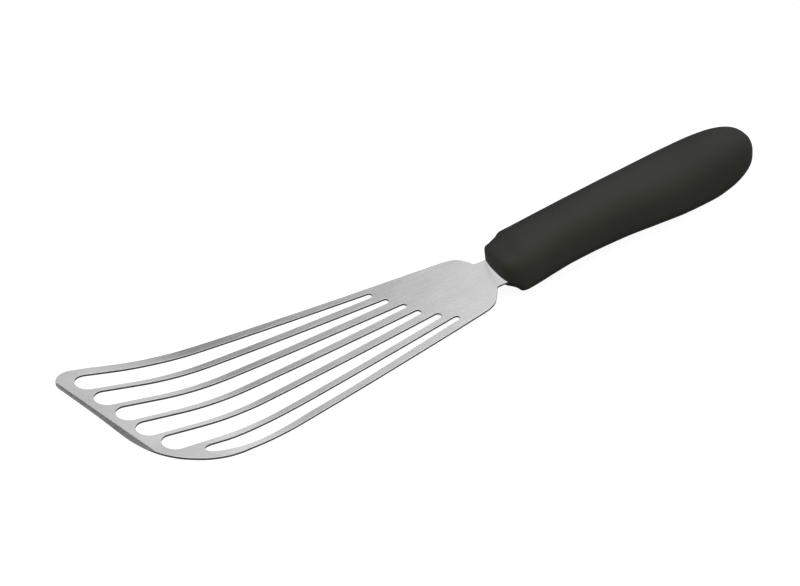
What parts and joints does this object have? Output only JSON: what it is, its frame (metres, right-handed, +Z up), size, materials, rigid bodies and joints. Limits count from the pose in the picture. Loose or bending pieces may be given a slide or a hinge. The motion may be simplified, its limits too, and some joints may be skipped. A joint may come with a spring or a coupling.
{
  "type": "slotted grill spatula",
  "caption": "Slotted grill spatula: fan-shaped springy steel blade with a slanted, ground front edge and long tapered slots, on a black moulded grip.",
  "frame": {"origin": "bottom centre of the bounding box, on the surface the grip lies on", "axes": "+X along the grip from the blade towards the butt, +Y towards the blade's longer side, +Z up, square to the flat pad of the blade"},
  "size_m": [0.3082, 0.0774, 0.0263],
  "materials": {
    "blade_steel": "fine brushed stainless, ground front edge",
    "handle_plastic": "matte black moulded polypropylene"
  },
  "bodies": {
    "root": {"blade": "blade_steel", "handle": "handle_plastic"}
  },
  "joints": []
}
